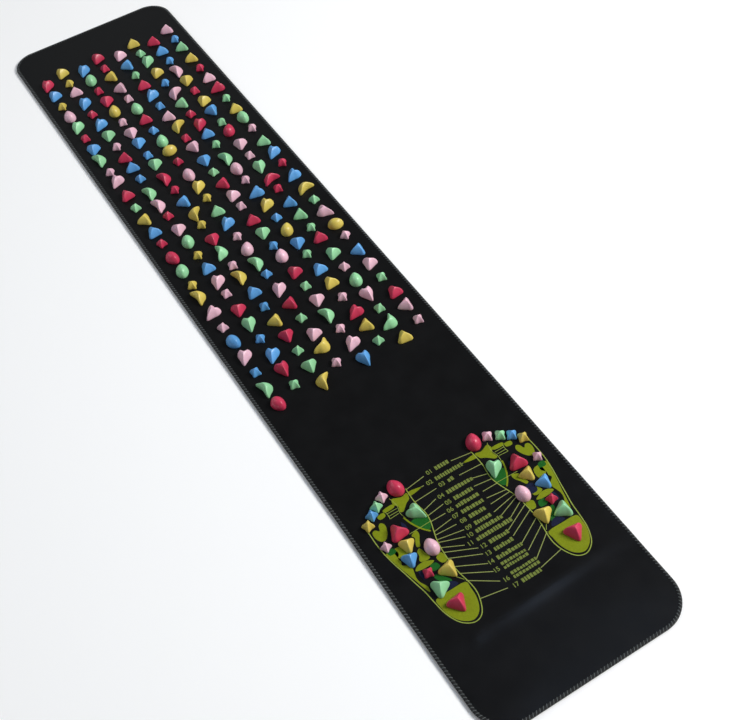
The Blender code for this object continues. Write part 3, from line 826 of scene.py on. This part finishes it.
# A stone as the right foot has it, its length, and its places on the left and the right foot: outwards and
# along from the middle of the heel's rear end. All are shares of the foot's length.
FOOT_STONES = (
    ("big_toe", "Re2", 0.118, ((-0.106, 0.938), (-0.102, 0.947))),
    ("second_toe", "Ps10", 0.078, ((-0.009, 0.934), (-0.009, 0.938))),
    ("third_toe", "Gs10", 0.078, ((0.050, 0.896), (0.058, 0.901))),
    ("fourth_toe", "Bs10", 0.078, ((0.102, 0.861), (0.115, 0.865))),
    ("little_toe", "Ys8", 0.078, ((0.155, 0.813), (0.160, 0.814))),
    ("inner_ball", "Gh28", 0.134, ((-0.119, 0.740), (-0.104, 0.732))),
    ("middle_ball", "Rt1", 0.128, ((0.038, 0.682), (0.029, 0.690))),
    ("outer_ball", "Ps10", 0.070, ((0.142, 0.645), (0.150, 0.659))),
    ("upper_midfoot", "Yt38", 0.108, ((0.037, 0.590), (0.031, 0.595))),
    ("lower_midfoot", "Bt38", 0.108, ((0.073, 0.505), (0.077, 0.499))),
    ("inner_arch", "Pe0", 0.110, ((-0.068, 0.503), (-0.070, 0.500))),
    ("small_arch", "Rs4", 0.072, ((0.035, 0.380), (0.047, 0.384))),
    ("inner_midfoot", "Yt26", 0.123, ((-0.068, 0.337), (-0.052, 0.326))),
    ("outer_midfoot", "Gt36", 0.123, ((0.032, 0.268), (0.055, 0.289))),
    ("heel", "Rt25", 0.128, ((0.003, 0.143), (0.021, 0.142))),
)

for foot, side in (("left", -1), ("right", 1)):
    for name, entry, length_share, places in FOOT_STONES:
        colour, mould, mark = read_stone(entry)
        across_share, along_share = places[side > 0]
        x = side * (HEEL_ACROSS + across_share * FOOT_LENGTH)
        y = HEEL_ALONG - MAT_LENGTH / 2 + along_share * FOOT_LENGTH
        scale = length_share * FOOT_LENGTH / MOULDS[mould].length
        bm = bmesh.new()
        add_stone(bm, mould, scale, stone_place(x, y, side * mark), 0)
        stone = add_piece(f"{foot}_{name}_gem", bm, plastics[plastic_slots[colour]])
        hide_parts(f"{foot}_{name}_stone")

# The studio: a plain pale floor, and soft boxes in a pale room. A large key light stands at the near right, a
# weak fill at the far left, and a faint one beyond the far end. A small bluish one over the near end draws
# the sheen on the mat's largest swell.
FLOOR_HALF_SIZE = 12
FLOOR_DROP = 0.0002
ROOM_COLOUR = (0.96, 0.98, 1.0)
ROOM_LIGHT = 0.20

# Name, place, target, size, power and colour
SOFT_BOXES = (
    ("key_light", (3.4, -1.6, 3.4), (0, 0, 0), 1.6, 262, (1.0, 0.99, 0.97)),
    ("fill_light", (-3.0, 2.5, 3.5), (0, 0, 0), 3.0, 60, (0.92, 0.96, 1.0)),
    ("far_light", (1.0, 4.2, 2.9), (0, 0.6, 0), 1.6, 4, (0.90, 0.97, 1.0)),
    ("sheen_light", (0.800, -0.500, 2.44), (0, -0.738, 0), 0.3, 5, (0.50, 0.68, 1.0)),
)

floor_paint, _ = new_finish("floor_paint", (0.97, 0.97, 0.97), roughness=0.9, specular=0.1)
bm = bmesh.new()
bmesh.ops.create_grid(bm, x_segments=2, y_segments=2, size=FLOOR_HALF_SIZE)
mesh = bpy.data.meshes.new("floor")
bm.to_mesh(mesh)
bm.free()
mesh.materials.append(floor_paint)
floor = bpy.data.objects.new("floor", mesh)
floor.location.z = -FLOOR_DROP
bpy.context.scene.collection.objects.link(floor)

world = bpy.data.worlds.new("studio")
world.use_nodes = True
world.node_tree.nodes["Background"].inputs["Color"].default_value = (*ROOM_COLOUR, 1)
world.node_tree.nodes["Background"].inputs["Strength"].default_value = ROOM_LIGHT
bpy.context.scene.world = world

for name, place, target, size, power, colour in SOFT_BOXES:
    lamp = bpy.data.lights.new(name, "AREA")
    lamp.shape = "SQUARE"
    lamp.size = size
    lamp.energy = power
    lamp.color = colour
    light = bpy.data.objects.new(name, lamp)
    light.location = place
    light.rotation_euler = (Vector(target) - Vector(place)).to_track_quat("-Z", "Y").to_euler()
    bpy.context.scene.collection.objects.link(light)

# The camera: a short telephoto lens over the mat's near left corner, held askew as the photograph was taken
CAMERA_LENS = 60
CAMERA_FILM_WIDTH = 36
CAMERA_REACH = 100
CAMERA_PLACE = (-0.5437, -1.3790, 1.6196)
CAMERA_VIEW = (0.2809, 0.5537, -0.7839)
CAMERA_UP = (0.4506, 0.6451, 0.6171)

camera_data = bpy.data.cameras.new("camera")
camera_data.lens = CAMERA_LENS
camera_data.sensor_width = CAMERA_FILM_WIDTH
camera_data.clip_end = CAMERA_REACH
camera = bpy.data.objects.new("camera", camera_data)
view = Vector(CAMERA_VIEW).normalized()
right = view.cross(Vector(CAMERA_UP)).normalized()
up = right.cross(view)
turn = Matrix((right, up, -view)).transposed().to_4x4()
camera.matrix_world = Matrix.Translation(CAMERA_PLACE) @ turn
bpy.context.scene.collection.objects.link(camera)
bpy.context.scene.camera = camera
bpy.context.scene.view_settings.view_transform = "Standard"
